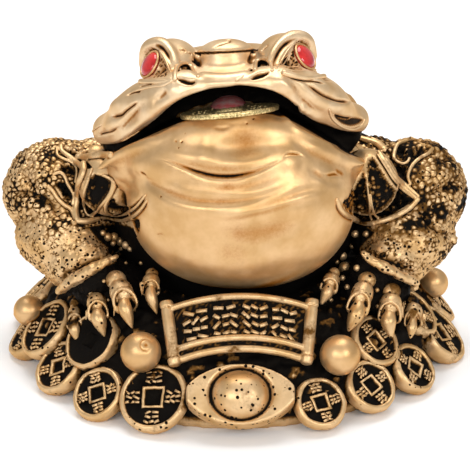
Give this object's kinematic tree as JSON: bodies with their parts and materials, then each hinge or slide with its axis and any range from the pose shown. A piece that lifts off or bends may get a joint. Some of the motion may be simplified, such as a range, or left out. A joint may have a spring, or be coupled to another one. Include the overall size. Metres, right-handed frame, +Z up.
{
  "type": "money toad figure",
  "caption": "Cast three-legged money toad crouching on a round heap of coins, with a loose coin held flat in its open mouth and set red eye stones.",
  "frame": {"origin": "on the table, under the middle of the coin heap's box", "axes": "the toad faces -Y, its own left is +X, +Z up"},
  "size_m": [0.1194, 0.1179, 0.0892],
  "materials": {
    "figure": "cast resin, satin antique gold with near-black patina in the recesses",
    "coin": "satin",
    "eye_stones": "polished red cabochon"
  },
  "bodies": {
    "root": {"toad_figure": "figure", "mouth_coin": "coin", "eye_stone_right": "eye_stones", "eye_stone_left": "eye_stones"}
  },
  "joints": []
}
